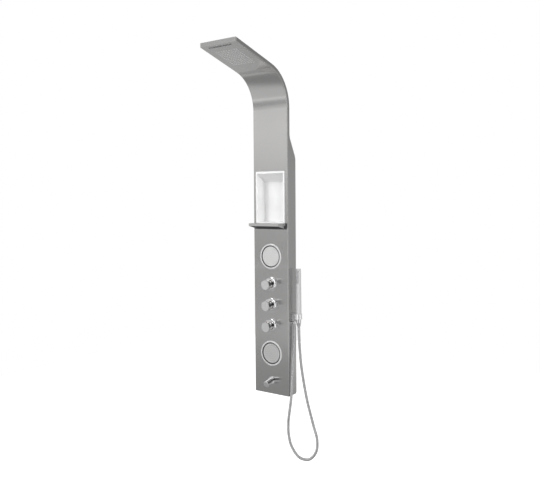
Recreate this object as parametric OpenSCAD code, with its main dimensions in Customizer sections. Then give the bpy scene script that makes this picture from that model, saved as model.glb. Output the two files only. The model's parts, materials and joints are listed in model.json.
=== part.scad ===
// Shower panel column for a wall: a folded steel column with a curved arm and a rain head,
// a white niche over a shelf, two body sprays, three valve knobs, a spout and a hand shower.
// Millimetres, +X to the right, +Y into the wall, +Z up. Heights are counted from the lower edge
// of the column, and on_wall() sets the whole on its upper wall screws, which are the origin.

/* [Column] */
// Width of the column and the arm
column_w = 200; // [190:1:230]
// Depth of the column from its front face to the wall
column_d = 68; // [67:1:85]
// Thickness of the folded steel sheet
sheet_t = 1.5; // [1:0.1:2]
// Outer radius of the front folds
fold_r = 4; // [3:0.5:8]
// Width of the flanges folded in along the rear edges
flange_w = 14; // [8:1:16]
// Radius of the lower rear corners
foot_r = 10; // [4:1:16]

/* [Shoulder] */
// Height of the middle of the shoulder
shoulder_z = 1193; // [1185:1:1210]
// Radius of the two shoulder curves
shoulder_r = 60; // [40:1:70]
// Slope of the shoulder from the vertical, in degrees
shoulder_slope = 27; // [25:1:32]

/* [Arm] */
// Thickness of the arm
arm_d = 18.5; // [17.5:0.5:22]
// Height where the arm starts to bend
arm_bend_z = 1376; // [1340:1:1420]
// Inner radius of the bend
arm_bend_r = 170; // [150:1:190]
// Slope of the rain head above the horizontal, in degrees
arm_tilt = 15; // [10:1:20]
// Reach of the head's tip in front of the column
arm_reach = 382; // [370:1:410]
// Radius of the tip's corners
tip_r = 5; // [4.5:0.5:10]
// Thickness of the rear cover sheet
cover_t = 1.5; // [1:0.1:2]
// Lap of the rear cover below the shoulder
cover_lap = 10; // [6:1:10]

/* [Rain head] */
// Nozzles across the head
nozzle_columns = 9; // [5:1:9]
// Rows of nozzles along the head
nozzle_rows = 10; // [6:1:10]
// Distance between nozzles
nozzle_pitch = 14; // [11:0.5:14.5]
// Radius of the nozzle holes
nozzle_r = 2; // [1.5:0.1:2.4]
// Drop of the nozzle tips below the sheet
nozzle_drop = 1.8; // [1:0.1:3]
// Distance from the tip back to the middle of the nozzle field
rain_set = 126; // [123:1:131]
// Thickness of the silicone nozzle mat
mat_t = 1.2; // [0.8:0.1:2]
// Height of the water chamber over the nozzles
chamber_h = 10; // [8:0.5:12]
// Wall of the water chamber
chamber_wall = 2; // [1.5:0.1:3]
// Rim of the mat round the nozzle field
mat_rim = 12; // [8:1:14]

/* [Waterfall] */
// Width of the waterfall slot
fall_w = 126; // [90:1:140]
// Length of the slot along the head
fall_l = 9; // [7:0.5:11]
// Distance from the tip back to the middle of the slot
fall_set = 18; // [15:1:22]
// Gap that the water leaves by
fall_gap = 3; // [2:0.5:4]
// Height of the waterfall box inside the head
fall_h = 11; // [9:0.5:12]

/* [Niche] */
// Inner width of the niche
niche_w = 151; // [130:1:154]
// Height of the niche floor
niche_floor_z = 840; // [838:1:860]
// Height of the niche opening's top
niche_top_z = 1071; // [1040:1:1073]
// Depth of the niche behind the front face
niche_d = 57; // [45:1:59]
// Drop of the niche ceiling from its front to its back
niche_drop = 38; // [10:1:50]
// Wall of the niche insert
niche_wall = 2.5; // [2:0.1:3]
// Width of the niche frame
frame_w = 8; // [6:0.5:9]
// Thickness of the niche frame in front of the sheet
frame_t = 4; // [2:0.5:6]
// Radius of the niche frame's corners
frame_r = 3; // [1:0.5:6]

/* [Shelf] */
// Width of the shelf
shelf_w = 171; // [150:1:176]
// Reach of the shelf in front of the column
shelf_reach = 61; // [45:1:80]
// Height of the shelf's upper edge
shelf_z = 833; // [832:1:834]
// Height of the front lip
shelf_lip = 13; // [8:0.5:16]
// Depth of the gussets at the rear, below the upper edge
shelf_gusset = 24; // [18:1:28]
// Gap between the gussets and the column
gusset_gap = 12; // [6:1:20]
// Sheet of the shelf
shelf_t = 1.5; // [1:0.1:2]
// Width of the rail behind the shelf
rail_w = 186; // [178:1:188]
// Height of the rail
rail_h = 28; // [26:1:34]
// Thickness of the rail
rail_t = 3; // [2:0.5:5]
// Spacing of the shelf screws
shelf_screw_span = 110; // [80:1:130]
// Radius of the shelf screws
shelf_screw_r = 2.5; // [2:0.1:3]

/* [Body sprays] */
// Height of the upper body spray
upper_jet_z = 672; // [660:1:690]
// Height of the lower body spray
lower_jet_z = 199; // [195:1:204]
// Outer radius of the spray ring
jet_r = 61.5; // [58:0.5:64]
// Thickness of the spray ring
ring_t = 2.2; // [1.5:0.1:3]
// Outer radius of the spray cup
cup_r = 53.2; // [51:0.1:53.4]
// Depth of the spray cup behind the front face
cup_d = 24; // [18:1:27]
// Wall of the spray cup
cup_wall = 3; // [2:0.1:4]
// Radius of the spray plate
plate_r = 49; // [46:0.5:49]
// Radius of the spray plate's holes
spray_hole_r = 1.1; // [0.8:0.1:1.4]

/* [Valve] */
// Height of the thermostatic knob
temperature_z = 334; // [332:1:338]
// Distance between the knobs
knob_pitch = 102; // [96:1:106]
// Radius of the valve's main tube
tube_r = 17; // [15:0.5:18]
// Radius of the valve's threaded necks
neck_r = 16.6; // [14:0.1:16.8]
// Depth of the valve's axis behind the front face
valve_depth = 30; // [28:1:32]
// Distance of each inlet from the middle
inlet_x = 62; // [58:1:66]
// Slope of the inlets from straight down towards the wall, in degrees
inlet_slope = 45; // [30:1:50]
// Length of the inlet threads
inlet_l = 14; // [12:1:15]
// Bore of the inlets
inlet_bore_r = 7; // [5:0.5:8]

/* [Knobs] */
// Radius of the knobs
knob_r = 24.5; // [22:0.5:28]
// Height of the knobs' front above the column
knob_reach = 50; // [46:1:56]
// Length of the knobs' straight grip
grip_l = 17; // [12:1:20]
// Radius of the knobs' neck
knob_neck_r = 17; // [15:0.5:19]
// Radius of the knob flanges
knob_flange_r = 36.5; // [33:0.5:40]
// Height of the knob flanges
knob_flange_h = 9; // [8:0.5:11]
// Radius of the spindles
spindle_r = 4; // [3:0.5:5]
// Radius of the knob caps
cap_r = 22; // [20:0.5:22]
// Thickness of the knob caps
cap_t = 2; // [1.5:0.1:2.5]
// Radius of the safety stop button
button_r = 4; // [3:0.5:4.5]
// Travel of the safety stop button
button_travel = 1.8; // [1:0.1:2]

/* [Spout] */
// Height of the spout
spout_z = 66; // [62:1:68]
// Radius of the spout
spout_r = 13.5; // [12:0.5:15]
// Length of the spout
spout_l = 52; // [45:1:60]
// Droop of the spout, in degrees
spout_droop = 10; // [5:1:14]
// Radius of the aerator
aerator_r = 9.5; // [8:0.5:10]

/* [Hand shower] */
// Distance of the hand shower's axis from the column's side
handset_out = 27; // [26:0.5:27.5]
// Distance of the hand shower's axis from the wall
handset_back = 19; // [18:0.5:19.5]
// Side of the hand shower's square body at its foot
stick_w = 21.5; // [20:0.5:22.5]
// Side of the hand shower's square body at its top
stick_top_w = 18.7; // [17:0.1:19.5]
// Rounding of the hand shower's edges
stick_r = 3; // [2:0.5:4]
// Height of the hand shower's top
stick_top_z = 615; // [590:1:630]
// Height of the holder's top
holder_z = 397; // [396:1:398]
// Height of the holder
holder_h = 25; // [23:1:25]
// Half width of the holder
holder_r = 16; // [15:0.5:17]
// Radius of the hand shower's round connector
connector_r = 11.5; // [10.5:0.1:11.6]
// Length of the spray face
spray_l = 62; // [50:1:70]
// Width of the spray face
spray_w = 14; // [12:0.5:15]

/* [Hose] */
// Outer radius of the hose's ribs
hose_r = 7; // [6.5:0.1:7.5]
// Depth of the grooves between the ribs
hose_groove = 0.8; // [0.4:0.1:1.2]
// Radius of the hose's bore
hose_bore_r = 4; // [3.5:0.1:4.5]

/* [Wall brackets] */
// Height of the upper wall screws
upper_hanger_z = 1104; // [1098:1:1108]
// Height of the lower wall screws
lower_hanger_z = 95; // [92:1:100]
// Distance between the wall screws
screw_span = 90; // [60:1:110]
// Radius of the wall screw holes
screw_hole_r = 3; // [2.5:0.1:4]
// Width of the wall brackets
bracket_w = 140; // [120:1:150]
// Sheet of the wall brackets and hangers
bracket_t = 2.5; // [2:0.1:3]

/* [Hidden] */
$fn = 48;
overrun = 5;
tip_flats = 6;
bend_steps = 240;
slip = 0.3;
running = 0.05;
hole_gap = 0.4;
// Step by which the bend stays inside the flat sheets that it joins
bend_step = 0.02;
front_y = -column_d;
half_w = column_w / 2;
bend_angle = 90 - arm_tilt;
bend_y = front_y - arm_bend_r;
tip_y = front_y - arm_reach;
cover_w = column_w - 2 * sheet_t;
arm_mid = (arm_d + sheet_t - cover_t) / 2;
top_z = head_z(head_end(arm_d), arm_d);
rain_middle = head_end(0) - rain_set;
fall_middle = head_end(0) - fall_set;

// The shoulder is two equal arcs with a straight slope between them
shoulder_step = column_d - arm_d;
shoulder_straight = (shoulder_step - 2 * shoulder_r * (1 - cos(shoulder_slope))) / sin(shoulder_slope);
shoulder_h = 2 * shoulder_r * sin(shoulder_slope) + shoulder_straight * cos(shoulder_slope);
shoulder_low = shoulder_z - shoulder_h / 2;
shoulder_high = shoulder_z + shoulder_h / 2;
arc_steps = 9;

hook_depth = 15;
hook_low = -9;
hook_top = 30;
pocket_floor = 14.5;
pocket_top = 26;
pocket_depth = 9;

nozzle_tip_share = 0.6;
chamber_half_w = (nozzle_columns - 1) * nozzle_pitch / 2 + mat_rim;
chamber_half_l = (nozzle_rows - 1) * nozzle_pitch / 2 + mat_rim;
fall_wall = 1.2;
fall_rim = 3.5;
fall_lip = 1.2;

frame_half_w = niche_w / 2 + frame_w;
frame_low = niche_floor_z - frame_w + slip;
frame_lip = 2;
frame_top = niche_top_z + frame_w + frame_lip;
shelf_screw_z = shelf_z - shelf_lip / 2;
shelf_half_w = shelf_w / 2;

cup_hole_r = cup_r + slip;
ring_lap = 3.5;
cup_flange_r = jet_r - ring_lap;
cup_flange_t = 1.2;
cup_tail_r = 8;
cup_tail_l = 9;
cup_tail_bore_r = 3.5;
post_r = 9;
plate_t = 3.5;
plate_back = -2;
plate_edge = 0.8;
hole_ring_shares = [0.24, 0.45, 0.65, 0.86];
hole_ring_counts = [8, 14, 20, 26];
cup_nut_wall = 6.5;
cup_nut_r = cup_r + cup_nut_wall;
cup_nut_h = 7;
lug_count = 6;
lug_w = 12;
lug_out = 2;

flow_z = temperature_z + knob_pitch;
diverter_z = temperature_z + 2 * knob_pitch;
knob_heights = [temperature_z, flow_z, diverter_z];
valve_hole_r = neck_r + hole_gap;
valve_y = front_y + valve_depth;
boss_r = 20;
boss_front = 6;
boss_back = 46;
neck_out = 5;
valve_below = 34;
valve_above = 37;
valve_low_z = temperature_z - valve_below;
valve_top_z = diverter_z + valve_above;
arm_tube_r = 11;
inlet_r = 10.48;
inlet_leg = 15;
inlet_hex_r = 15;
inlet_hex_h = 8;
spindle_in = 14;
spindle_out = 36;
valve_nut_r = 23;
valve_nut_h = 4;
flange_edge = 2;
flange_hole_r = 19;
flange_cavity_r = 27;
flange_cavity_h = 6;
cap_rim = 0.3;
cap_proud = 0.5;
knob_chamfer = 1.2;
groove_r = 1.1;
groove_gap = 4.4;
curve_low_share = 0.25;
button_out = 1.9;
button_l = 8;
button_spring_gap = 0.6;
button_spring_room = button_travel + button_spring_gap;
button_set = 10;
button_y = knob_reach - button_set;

spout_root = spout_r * sin(spout_droop) + slip;
spout_bore_r = 3.5;
spout_flange_r = 18;
spout_flange_h = 4;
spout_round = 4;
spout_tail_r = 10;
spout_tail_l = 16;
spout_hole_r = spout_tail_r + hole_gap;
spout_nut_r = 16;
spout_nut_h = 6;
aerator_set = 12;
aerator_h = 5;
aerator_wall = 2;
aerator_recess = 1.5;

outlet_y = -33;
outlet_z = 358;
outlet_out = 12;
outlet_tube_r = 7.5;
outlet_flange_r = 12;
outlet_flange_h = 3;
outlet_drop = 8;
outlet_tail_r = 8;
outlet_tail_l = 14;
outlet_hole_r = outlet_tail_r + hole_gap;
outlet_nut_r = 13;
outlet_nut_h = 5;
hose_nut_r = 8.8;

// Route of the hose, from its nut on the column's side down, round and up to the hand shower
hose_route = [
    [112, -33, 336], [111, -35, 276], [110, -40, 216], [110, -46, 156], [109, -51, 96], [109, -56, 37],
    [105, -58, -23], [92, -52, -82], [80, -44, -141], [79, -39, -200], [92, -33, -257], [132, -28, -303],
    [186, -23, -303], [223, -19, -258], [226, -16, -199], [207, -15, -141], [189, -15, -84],
    [172, -15, -27], [159, -16, 32], [148, -17, 91], [139, -18, 150], [133, -18, 210], [129, -19, 273],
    [127, -19, 337]
];

handset_x = half_w + handset_out;
handset_y = -handset_back;
holder_low = holder_z - holder_h;
holder_plate_t = 3.5;
holder_plate_w = 34;
holder_bore_r = connector_r + slip;
handset_nut_l = holder_low - hose_route[len(hose_route) - 1].z;
stick_steps = 24;
spray_t = 1.8;
spray_inset = 8.2;
spray_top_gap = 8;
spray_hole = 0.8;
spray_pitch = 6;
spray_gap = 3.5;
spray_low_z = stick_top_z - spray_top_gap - spray_l;
spray_rows = 9;
spray_columns = 2;

pipe_r = 5.5;
thin_pipe_r = 5;
elbow = 0.6;
push_in = 2;
pipe_corners = 6;
fall_feed_r = 4;
rain_pipe_in = 40;
side_pipe_in = 14;
fall_pipe_in = 20;
rain_x = half_w - rain_pipe_in;
side_pipe_x = half_w - side_pipe_in;
fall_pipe_x = half_w - fall_pipe_in;
side_pipe_y = -34;
slab_above = 158;
slab_z = upper_hanger_z + slab_above;
column_top_below = 4;
column_top_z = upper_hanger_z - column_top_below;
pipe_rise = 13;
pipe_bend_h = 62;
first_bend_z = valve_top_z + pipe_rise;
second_bend_z = first_bend_z + pipe_bend_h;
jet_pipe_x = -36;
jet_pipe_y = -20;
jet_pipe_up = 44;
jet_pipe_z = flow_z + jet_pipe_up;
jet_tail_y = front_y + cup_d + cup_tail_l + thin_pipe_r;
handset_pipe_drop = 30;
spout_pipe_x = 24;
spout_pipe_y = -25;
fall_end_x = fall_w / 2 + fall_rim;

ribs_per_span = 8;
bore_rings_per_span = 4;
hose_sides = 8;
way_step_share = 0.02;

// Distance along the head, from the end of the bend, at which the vertical tip cuts a height in it
function head_end(height) = (bend_y + (arm_bend_r + height) * cos(bend_angle) - tip_y) / sin(bend_angle);
function head_z(along, height) =
    arm_bend_z + (arm_bend_r + height) * sin(bend_angle) + along * cos(bend_angle);

// Rear line of the shoulder and slab as depth and height, moved inwards by inset
function rear_line(inset) = concat(
    [[-inset, shoulder_low - cover_lap]],
    [for (i = [0 : arc_steps]) let (a = shoulder_slope * i / arc_steps)
        [-shoulder_r + (shoulder_r - inset) * cos(a), shoulder_low + (shoulder_r - inset) * sin(a)]],
    [for (i = [arc_steps : -1 : 0]) let (a = shoulder_slope * i / arc_steps)
        [shoulder_r - shoulder_step - (shoulder_r + inset) * cos(a),
            shoulder_high - (shoulder_r + inset) * sin(a)]],
    [[-shoulder_step - inset, arm_bend_z]]
);
function reversed(list) = [for (i = [len(list) - 1 : -1 : 0]) list[i]];

// Sets the column, drawn from its lower edge up, on its upper wall screws
module on_wall() {
    translate([0, 0, -upper_hanger_z]) children();
}

// Local z points out of the front face at a given height, local y up
module on_front(height) {
    translate([0, front_y, height]) rotate([90, 0, 0]) children();
}

// Local z points out of the right side face
module on_side(depth, height) {
    translate([half_w, depth, height]) rotate([0, 90, 0]) children();
}

// Extrudes a depth and height outline along X
module along_x(width) {
    rotate([90, 0, 90]) linear_extrude(width, center = true) children();
}

// Turns a radius and X outline half round the axis of the arm's bend, cut where column and head begin
module along_bend() {
    reach = 2 * arm_bend_r;
    intersection() {
        translate([0, bend_y, arm_bend_z]) rotate([90, 0, 90]) rotate(-90)
            rotate_extrude(angle = 180, $fn = bend_steps) children();
        translate([-column_w, bend_y - reach, arm_bend_z]) cube([2 * column_w, 2 * reach, reach]);
        in_head() translate([-column_w, -reach, -reach]) cube([2 * column_w, 2 * reach, reach]);
    }
}

// Frame of the head: local y is the height above its lower face, local z runs from bend to tip
module in_head() {
    translate([0, bend_y, arm_bend_z]) rotate([bend_angle, 0, 0]) translate([0, arm_bend_r, 0]) children();
}

// Plan of the sheet: front face on y = 0 with rounded folds, inset from the outside
module section(depth, inset) {
    r = fold_r - inset;
    side = half_w - inset;
    translate([-side, inset + r]) square([2 * side, depth - inset - r]);
    translate([-side + r, inset]) square([2 * (side - r), depth - inset]);
    for (x = [-side + r, side - r]) translate([x, inset + r]) circle(r);
}

// Plan that the head is trimmed to: its upright tip, with corners rounded in flats that touch
// the corner's circle, of which the last runs on past the side
module plan_limit(inset) {
    r = tip_r - inset;
    side = half_w - inset;
    turn = 90 / tip_flats;
    last = 90 - turn;
    reach = (overrun + r - r * sin(last)) / cos(last);
    corner = concat(
        [for (i = [0 : tip_flats - 2]) let (a = (i + 0.5) * turn, far = r / cos(turn / 2))
            [side - r + far * sin(a), tip_y + inset + r - far * cos(a)]],
        [[side + overrun, tip_y + inset + r - r * cos(last) + reach * sin(last)], [side + overrun, 0]]
    );
    linear_extrude(top_z + overrun)
        polygon(concat(corner, [for (point = reversed(corner)) [-point.x, point.y]]));
}

// Solid form of column and arm, inset from the outside and open past the rear by extra
module form(inset, extra) {
    translate([0, front_y, inset]) linear_extrude(arm_bend_z - inset) section(column_d + extra, inset);
    along_bend() translate([arm_bend_r, 0]) mirror([1, -1, 0])
        section(arm_d - bend_step + extra, inset + bend_step);
    intersection() {
        in_head() linear_extrude(head_end(arm_d) + overrun) section(arm_d + extra, inset);
        plan_limit(inset);
    }
}

// Side view of the straight column, with its rounded lower rear corner and the shoulder
module side_outline() {
    polygon(concat(
        [[front_y, 0]],
        [for (i = [0 : arc_steps]) let (a = 90 * i / arc_steps)
            [-foot_r + foot_r * sin(a), foot_r - foot_r * cos(a)]],
        rear_line(0),
        [[front_y, arm_bend_z]]
    ));
}

module rear_cut() {
    difference() {
        translate([-column_w, -shoulder_step - overrun, -overrun])
            cube([2 * column_w, shoulder_step + 4 * overrun, arm_bend_z + overrun]);
        along_x(3 * column_w) side_outline();
    }
}

module column_shell() {
    on_wall() color([0.69, 0.69, 0.68]) {
        difference() {
            form(0, 0);
            form(sheet_t, overrun);
            rear_cut();
            // Niche window
            translate([-niche_w / 2 - niche_wall - slip, front_y - overrun, niche_floor_z - niche_wall - slip])
                cube([niche_w + 2 * (niche_wall + slip), 2 * overrun,
                    niche_top_z - niche_floor_z + 2 * (niche_wall + slip)]);
            for (z = [upper_jet_z, lower_jet_z]) front_hole(z, cup_hole_r);
            for (z = knob_heights) front_hole(z, valve_hole_r);
            front_hole(spout_z, spout_hole_r);
            on_side(outlet_y, outlet_z) translate([0, 0, -overrun])
                cylinder(r = outlet_hole_r, h = 2 * overrun);
            // Waterfall slot and nozzle holes
            in_head() translate([-fall_w / 2, -overrun, fall_middle - fall_l / 2])
                cube([fall_w, 2 * overrun, fall_l]);
            each_nozzle() translate([0, 0, -overrun]) cylinder(r = nozzle_r, h = 2 * overrun);
        }
        // Flanges folded in along the rear edges
        for (x = [-half_w, half_w - flange_w])
            translate([x, -sheet_t, foot_r])
                cube([flange_w, sheet_t, shoulder_low - cover_lap - foot_r - slip]);
    }
}

module front_hole(height, radius) {
    on_front(height) translate([0, 0, -overrun]) cylinder(r = radius, h = 2 * overrun);
}

// Places children at each nozzle, with local z pointing up through the head
module each_nozzle() {
    for (i = [0 : nozzle_columns - 1], j = [0 : nozzle_rows - 1])
        in_head() translate([
            (i - (nozzle_columns - 1) / 2) * nozzle_pitch,
            0,
            rain_middle + (j - (nozzle_rows - 1) / 2) * nozzle_pitch
        ]) rotate([-90, 0, 0]) children();
}

module arm_cover() {
    on_wall() color([0.69, 0.69, 0.68]) {
        along_x(cover_w) polygon(concat(rear_line(0), reversed(rear_line(cover_t))));
        along_bend() translate([arm_bend_r + arm_d - cover_t + bend_step, -cover_w / 2 + bend_step])
            square([cover_t - 2 * bend_step, cover_w - 2 * bend_step]);
        intersection() {
            in_head() translate([-cover_w / 2, arm_d - cover_t, 0])
                cube([cover_w, cover_t, head_end(arm_d) + overrun]);
            plan_limit(sheet_t);
        }
    }
}

// Hook of the column: a bar between the cheeks whose lip drops into the wall bracket's pocket
module hanger(height) {
    low = height + hook_low;
    top = height + hook_top;
    lip_y = -(pocket_depth - bracket_t) / 2 - bracket_t / 2;
    along_x(cover_w) polygon([
        [-hook_depth, low], [-hook_depth + bracket_t, low], [-hook_depth + bracket_t, top - bracket_t],
        [lip_y, top - bracket_t], [lip_y, height + pocket_floor],
        [lip_y + bracket_t, height + pocket_floor], [lip_y + bracket_t, top], [-hook_depth, top]
    ]);
}

module wall_bracket(height) {
    difference() {
        along_x(bracket_w) polygon([
            [0, height - pocket_floor], [0, height + pocket_floor],
            [-pocket_depth + bracket_t, height + pocket_floor],
            [-pocket_depth + bracket_t, height + pocket_top], [-pocket_depth, height + pocket_top],
            [-pocket_depth, height + pocket_floor - bracket_t], [-bracket_t, height + pocket_floor - bracket_t],
            [-bracket_t, height - pocket_floor]
        ]);
        for (x = [-screw_span / 2, screw_span / 2])
            translate([x, overrun, height]) rotate([90, 0, 0])
                cylinder(r = screw_hole_r, h = 2 * overrun + bracket_t);
    }
}

module upper_hanger() {
    on_wall() color([0.6, 0.6, 0.6]) hanger(upper_hanger_z);
}

module lower_hanger() {
    on_wall() color([0.6, 0.6, 0.6]) hanger(lower_hanger_z);
}

module upper_wall_bracket() {
    on_wall() color([0.55, 0.55, 0.56]) wall_bracket(upper_hanger_z);
}

module lower_wall_bracket() {
    on_wall() color([0.55, 0.55, 0.56]) wall_bracket(lower_hanger_z);
}

// Side view of the niche: floor, back and sloping ceiling, grown outwards by grow
module niche_outline(grow, front_extra) {
    back = front_y + niche_d;
    polygon([
        [front_y - front_extra, niche_floor_z - grow],
        [back + grow, niche_floor_z - grow],
        [back + grow, niche_top_z - niche_drop + grow],
        [front_y, niche_top_z + grow],
        [front_y - front_extra, niche_top_z + grow]
    ]);
}

module rounded_plate(width, height, radius) {
    translate([-width / 2 + radius, 0]) square([width - 2 * radius, height]);
    translate([-width / 2, radius]) square([width, height - 2 * radius]);
    for (x = [-width / 2 + radius, width / 2 - radius], y = [radius, height - radius])
        translate([x, y]) circle(radius);
}

module niche_insert() {
    on_wall() color([0.95, 0.95, 0.95]) difference() {
        union() {
            along_x(niche_w + 2 * niche_wall) niche_outline(niche_wall, 0);
            translate([0, front_y, frame_low]) rotate([90, 0, 0]) linear_extrude(frame_t)
                rounded_plate(2 * frame_half_w, frame_top - frame_low, frame_r);
        }
        along_x(niche_w) niche_outline(0, frame_t + overrun);
    }
}

module shelf_rail() {
    on_wall() color([0.2, 0.2, 0.21]) difference() {
        translate([-rail_w / 2, front_y - rail_t, frame_low - slip - rail_h])
            cube([rail_w, rail_t, rail_h]);
        shelf_screw_holes(shelf_screw_r);
    }
}

module shelf_screw_holes(radius) {
    for (x = [-shelf_screw_span / 2, shelf_screw_span / 2])
        translate([x, front_y, shelf_screw_z]) rotate([90, 0, 0])
            cylinder(r = radius, h = rail_t + shelf_t + overrun);
}

module shelf() {
    rear_y = front_y - rail_t;
    tip = front_y - shelf_reach;
    floor_z = shelf_z - shelf_lip;
    depth = rear_y - tip;
    on_wall() color([0.75, 0.75, 0.75]) difference() {
        union() {
            translate([-shelf_half_w, tip, floor_z]) cube([shelf_w, depth, shelf_t]);
            translate([-shelf_half_w, tip, floor_z]) cube([shelf_w, shelf_t, shelf_lip]);
            translate([-shelf_half_w, rear_y - shelf_t, floor_z])
                cube([shelf_w, shelf_t, frame_low - slip - floor_z]);
            for (x = [-1, 1])
                translate([x * (shelf_half_w - shelf_t / 2), 0, 0]) along_x(shelf_t) polygon([
                    [tip, floor_z], [tip, shelf_z], [front_y - gusset_gap, shelf_z],
                    [front_y - gusset_gap, shelf_z - shelf_gusset]
                ]);
        }
        shelf_screw_holes(shelf_screw_r);
    }
}

module shelf_screws() {
    head_r = 2 * shelf_screw_r;
    head_h = shelf_screw_r;
    on_wall() color([0.7, 0.7, 0.7])
        for (x = [-shelf_screw_span / 2, shelf_screw_span / 2])
            translate([x, front_y, shelf_screw_z]) rotate([90, 0, 0]) {
                cylinder(r = shelf_screw_r - running, h = rail_t + shelf_t + head_h);
                translate([0, 0, rail_t + shelf_t]) cylinder(r = head_r, h = head_h);
            }
}

module rain_chamber() {
    outer_w = 2 * (chamber_half_w + chamber_wall);
    outer_l = 2 * (chamber_half_l + chamber_wall);
    on_wall() color([0.3, 0.3, 0.32]) in_head() difference() {
        translate([-outer_w / 2, sheet_t, rain_middle - outer_l / 2])
            cube([outer_w, chamber_h, outer_l]);
        translate([-chamber_half_w - slip, sheet_t - overrun, rain_middle - chamber_half_l - slip])
            cube([2 * (chamber_half_w + slip), chamber_h - chamber_wall + overrun,
                2 * (chamber_half_l + slip)]);
    }
}

module rain_nozzles() {
    tip_r = nozzle_r * nozzle_tip_share;
    on_wall() color([0.82, 0.82, 0.84]) {
        in_head() translate([-chamber_half_w, sheet_t, rain_middle - chamber_half_l])
            cube([2 * chamber_half_w, mat_t, 2 * chamber_half_l]);
        each_nozzle() {
            cylinder(r = nozzle_r - running, h = sheet_t);
            translate([0, 0, -nozzle_drop]) cylinder(r1 = tip_r, r2 = nozzle_r - running, h = nozzle_drop);
        }
    }
}

module waterfall_box() {
    on_wall() color([0.8, 0.8, 0.8]) in_head() difference() {
        union() {
            translate([-fall_end_x, sheet_t, fall_middle - fall_l / 2 - fall_rim])
                cube([2 * fall_end_x, fall_h, fall_l + 2 * fall_rim]);
            translate([-fall_w / 2 + slip, -fall_lip, fall_middle - fall_l / 2 + slip])
                cube([fall_w - 2 * slip, sheet_t + fall_lip, fall_l - 2 * slip]);
        }
        translate([-fall_w / 2 + fall_wall + slip, -overrun, fall_middle - fall_gap / 2])
            cube([fall_w - 2 * (fall_wall + slip), overrun + fall_h - fall_wall, fall_gap]);
    }
}

module jet_ring(height) {
    r = ring_t;
    on_wall() color([0.85, 0.85, 0.86]) on_front(height) rotate_extrude() {
        polygon(concat(
            [[cup_hole_r, cup_flange_t], [cup_flange_r + slip, cup_flange_t],
                [cup_flange_r + slip, 0], [jet_r, 0]],
            [for (i = [0 : arc_steps]) let (a = 90 * i / arc_steps)
                [jet_r - r + r * cos(a), cup_flange_t + r * sin(a)]],
            [[cup_hole_r, cup_flange_t + r]]
        ));
    }
}

module jet_cup(height) {
    on_wall() color([0.13, 0.13, 0.14]) on_front(height) difference() {
        union() {
            translate([0, 0, -cup_d]) cylinder(r = cup_r, h = cup_d + cup_flange_t);
            cylinder(r = cup_flange_r, h = cup_flange_t);
            translate([0, 0, -cup_d - cup_tail_l]) cylinder(r = cup_tail_r, h = cup_tail_l + cup_wall);
        }
        difference() {
            translate([0, 0, -cup_d + cup_wall]) cylinder(r = cup_r - cup_wall, h = cup_d + overrun);
            translate([0, 0, -cup_d]) cylinder(r = post_r, h = cup_d + plate_back);
        }
        translate([0, 0, -cup_d - cup_tail_l - overrun])
            cylinder(r = cup_tail_bore_r, h = cup_tail_l + overrun + cup_wall);
    }
}

module jet_plate(height) {
    front = plate_back + plate_t;
    on_wall() color([0.8, 0.8, 0.81]) on_front(height) difference() {
        rotate_extrude() polygon([
            [0, plate_back], [plate_r, plate_back], [plate_r, front - plate_edge],
            [plate_r - plate_edge, front], [0, front]
        ]);
        for (k = [0 : len(hole_ring_shares) - 1], i = [0 : hole_ring_counts[k] - 1])
            rotate(360 * i / hole_ring_counts[k]) translate([hole_ring_shares[k] * plate_r, 0, plate_back - overrun])
                cylinder(r = spray_hole_r, h = plate_t + 2 * overrun);
    }
}

module jet_nut(height) {
    on_wall() color([0.2, 0.2, 0.2]) on_front(height) translate([0, 0, -sheet_t - cup_nut_h]) difference() {
        union() {
            cylinder(r = cup_nut_r - 2 * slip, h = cup_nut_h);
            for (i = [0 : lug_count - 1]) rotate(360 * i / lug_count) translate([cup_r, -lug_w / 2, 0])
                cube([cup_nut_r + lug_out - cup_r, lug_w, cup_nut_h]);
        }
        translate([0, 0, -overrun]) cylinder(r = cup_r + running, h = cup_nut_h + 2 * overrun);
    }
}

module upper_jet_ring() { jet_ring(upper_jet_z); }
module upper_jet_cup() { jet_cup(upper_jet_z); }
module upper_jet_plate() { jet_plate(upper_jet_z); }
module upper_jet_nut() { jet_nut(upper_jet_z); }
module lower_jet_ring() { jet_ring(lower_jet_z); }
module lower_jet_cup() { jet_cup(lower_jet_z); }
module lower_jet_plate() { jet_plate(lower_jet_z); }
module lower_jet_nut() { jet_nut(lower_jet_z); }

module valve_body() {
    on_wall() color([0.75, 0.6, 0.3]) difference() {
        union() {
            translate([0, valve_y, valve_low_z]) cylinder(r = tube_r, h = valve_top_z - valve_low_z);
            for (z = knob_heights) on_front(z) {
                translate([0, 0, -boss_back]) cylinder(r = boss_r, h = boss_back - boss_front);
                translate([0, 0, -boss_front]) cylinder(r = neck_r, h = boss_front + neck_out);
            }
            translate([-inlet_x, valve_y, temperature_z]) rotate([0, 90, 0])
                cylinder(r = arm_tube_r, h = 2 * inlet_x);
            for (side = [-1, 1]) at_inlet(side) {
                sphere(arm_tube_r);
                translate([0, 0, -inlet_leg]) cylinder(r = arm_tube_r, h = inlet_leg);
            }
        }
        for (z = knob_heights) on_front(z)
            translate([0, 0, -spindle_in])
                cylinder(r = spindle_r + running, h = spindle_in + neck_out + overrun);
    }
}

module valve_nuts() {
    on_wall() color([0.7, 0.6, 0.35]) for (z = knob_heights) on_front(z) difference() {
        cylinder(r = valve_nut_r, h = valve_nut_h, $fn = 6);
        translate([0, 0, -overrun]) cylinder(r = neck_r + running, h = valve_nut_h + 2 * overrun);
    }
}

// Local z points up the inlet into the valve's cross tube, from where their axes meet
module at_inlet(side) {
    translate([side * inlet_x, valve_y, temperature_z]) rotate([inlet_slope, 0, 0]) children();
}

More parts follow.
